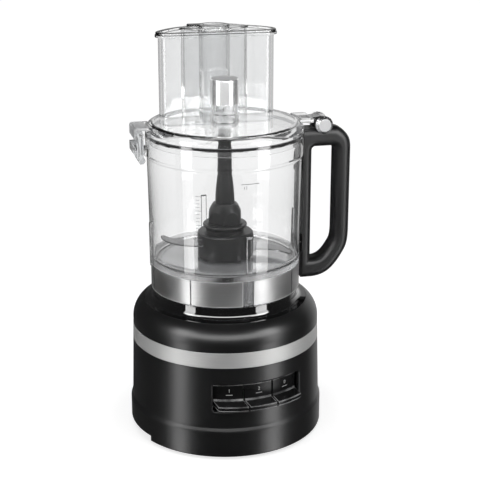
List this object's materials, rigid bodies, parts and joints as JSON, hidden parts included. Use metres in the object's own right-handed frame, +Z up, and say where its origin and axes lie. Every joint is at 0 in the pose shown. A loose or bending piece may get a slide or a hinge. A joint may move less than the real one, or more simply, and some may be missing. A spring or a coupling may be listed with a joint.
{
  "type": "food processor",
  "caption": "Worktop food processor: round motor base with paddle keys, clear lidded bowl with handle and S-blade, wide feed chute with nested pushers and a side latch.",
  "frame": {"origin": "on the surface it stands on, under the bowl and motor axis", "axes": "+Z up along the bowl axis, +X towards the handle, -Y towards the keys at the front"},
  "size_m": [0.256, 0.2319, 0.4567],
  "materials": {
    "satin_black": "satin black moulded plastic",
    "gloss_black": "gloss black moulded plastic",
    "dark_plastic": "matt black plastic",
    "trim_metal": "brushed, bare",
    "band_steel": "brushed round",
    "clear": "clear polished plastic",
    "grey_plastic": "dark grey plastic",
    "blade_steel": "ground stainless steel",
    "chrome": "bright plated",
    "rubber": "black rubber",
    "plain_steel": "turned steel",
    "laminations": "stacked steel sheet",
    "cast_frame": "die cast",
    "windings": "varnished copper wire",
    "fan_plastic": "black plastic",
    "board": "green laminate"
  },
  "bodies": {
    "base": {"base_housing": "satin_black", "trim_band": "trim_metal", "base_top_shell": "satin_black", "bowl_seat": "gloss_black", "bottom_cover": "dark_plastic", "rubber_foot": "rubber", "cover_screws": "plain_steel", "cord_gland": "rubber", "control_frame": "dark_plastic", "key_rod": "plain_steel", "control_board": "board", "key_switches": "fan_plastic", "interlock_switch": "fan_plastic", "motor_frame_lower": "cast_frame", "motor_frame_upper": "cast_frame", "frame_screws": "plain_steel", "motor_isolators": "rubber", "motor_stator": "laminations", "stator_windings": "windings", "upper_bearing": "plain_steel", "lower_bearing": "plain_steel", "shaft_seal": "rubber"},
    "motor": {"motor_shaft": "plain_steel", "motor_rotor": "laminations", "cooling_fan": "fan_plastic", "drive_coupling": "plain_steel"},
    "key_low": {"key_low": "satin_black"},
    "key_high": {"key_high": "satin_black"},
    "key_pulse": {"key_pulse": "satin_black"},
    "bowl": {"bowl": "clear", "bowl_band": "band_steel", "bowl_handle": "satin_black", "hinge_pin": "plain_steel", "hinge_heads": "chrome", "handle_screws": "plain_steel"},
    "blade": {"blade_hub": "grey_plastic", "hub_collar": "grey_plastic", "blade_stem": "grey_plastic", "lower_blade": "blade_steel", "upper_blade": "blade_steel"},
    "lid": {"lid": "clear", "lid_seal": "rubber", "hub_cap": "chrome", "hinge_bush": "plain_steel", "latch_pin": "plain_steel"},
    "latch": {"latch": "clear"},
    "large_pusher": {"large_pusher": "clear"},
    "medium_pusher": {"medium_pusher": "clear"},
    "small_pusher": {"small_pusher": "clear"}
  },
  "joints": [
    {"name": "motor_spin", "type": "hinge", "parent": "base", "child": "motor", "pos_m": [0, 0, 0.065], "axis": [0, 0, 1], "continuous": true},
    {"name": "key_low_press", "type": "hinge", "parent": "base", "child": "key_low", "pos_m": [-0.02163, -0.08534, 0.084], "axis": [0.9903, 0.1392, 0], "range_deg": [0, 5], "stiffness_Nm_per_rad": 1.2, "springref_deg": -1.72},
    {"name": "key_high_press", "type": "hinge", "parent": "base", "child": "key_high", "pos_m": [0.01134, -0.08071, 0.084], "axis": [0.9903, 0.1392, 0], "range_deg": [0, 5], "stiffness_Nm_per_rad": 1.2, "springref_deg": -1.72},
    {"name": "key_pulse_press", "type": "hinge", "parent": "base", "child": "key_pulse", "pos_m": [0.04432, -0.07607, 0.084], "axis": [0.9903, 0.1392, 0], "range_deg": [0, 5], "stiffness_Nm_per_rad": 1.2, "springref_deg": -1.72},
    {"name": "bowl_lift", "type": "slide", "parent": "base", "child": "bowl", "axis": [0, 0, 1], "range_m": [0, 0.105]},
    {"name": "blade_spin", "type": "hinge", "parent": "bowl", "child": "blade", "pos_m": [0, 0, 0.23], "axis": [0, 0, 1], "continuous": true},
    {"name": "lid_hinge", "type": "hinge", "parent": "bowl", "child": "lid", "pos_m": [0.111, 0, 0.3505], "axis": [0, 1, 0], "range_deg": [0, 95]},
    {"name": "latch_swing", "type": "hinge", "parent": "lid", "child": "latch", "pos_m": [-0.0965, 0, 0.3512], "axis": [0, 1, 0], "range_deg": [0, 24]},
    {"name": "large_pusher_slide", "type": "slide", "parent": "lid", "child": "large_pusher", "axis": [0, 0, 1], "range_m": [0, 0.108]},
    {"name": "medium_pusher_slide", "type": "slide", "parent": "large_pusher", "child": "medium_pusher", "axis": [0, 0, 1], "range_m": [0, 0.108]},
    {"name": "small_pusher_slide", "type": "slide", "parent": "medium_pusher", "child": "small_pusher", "axis": [0, 0, 1], "range_m": [0, 0.108]}
  ],
  "couplings": [
    {"joint": "blade_spin", "follows": "motor_spin", "ratio": 1}
  ]
}
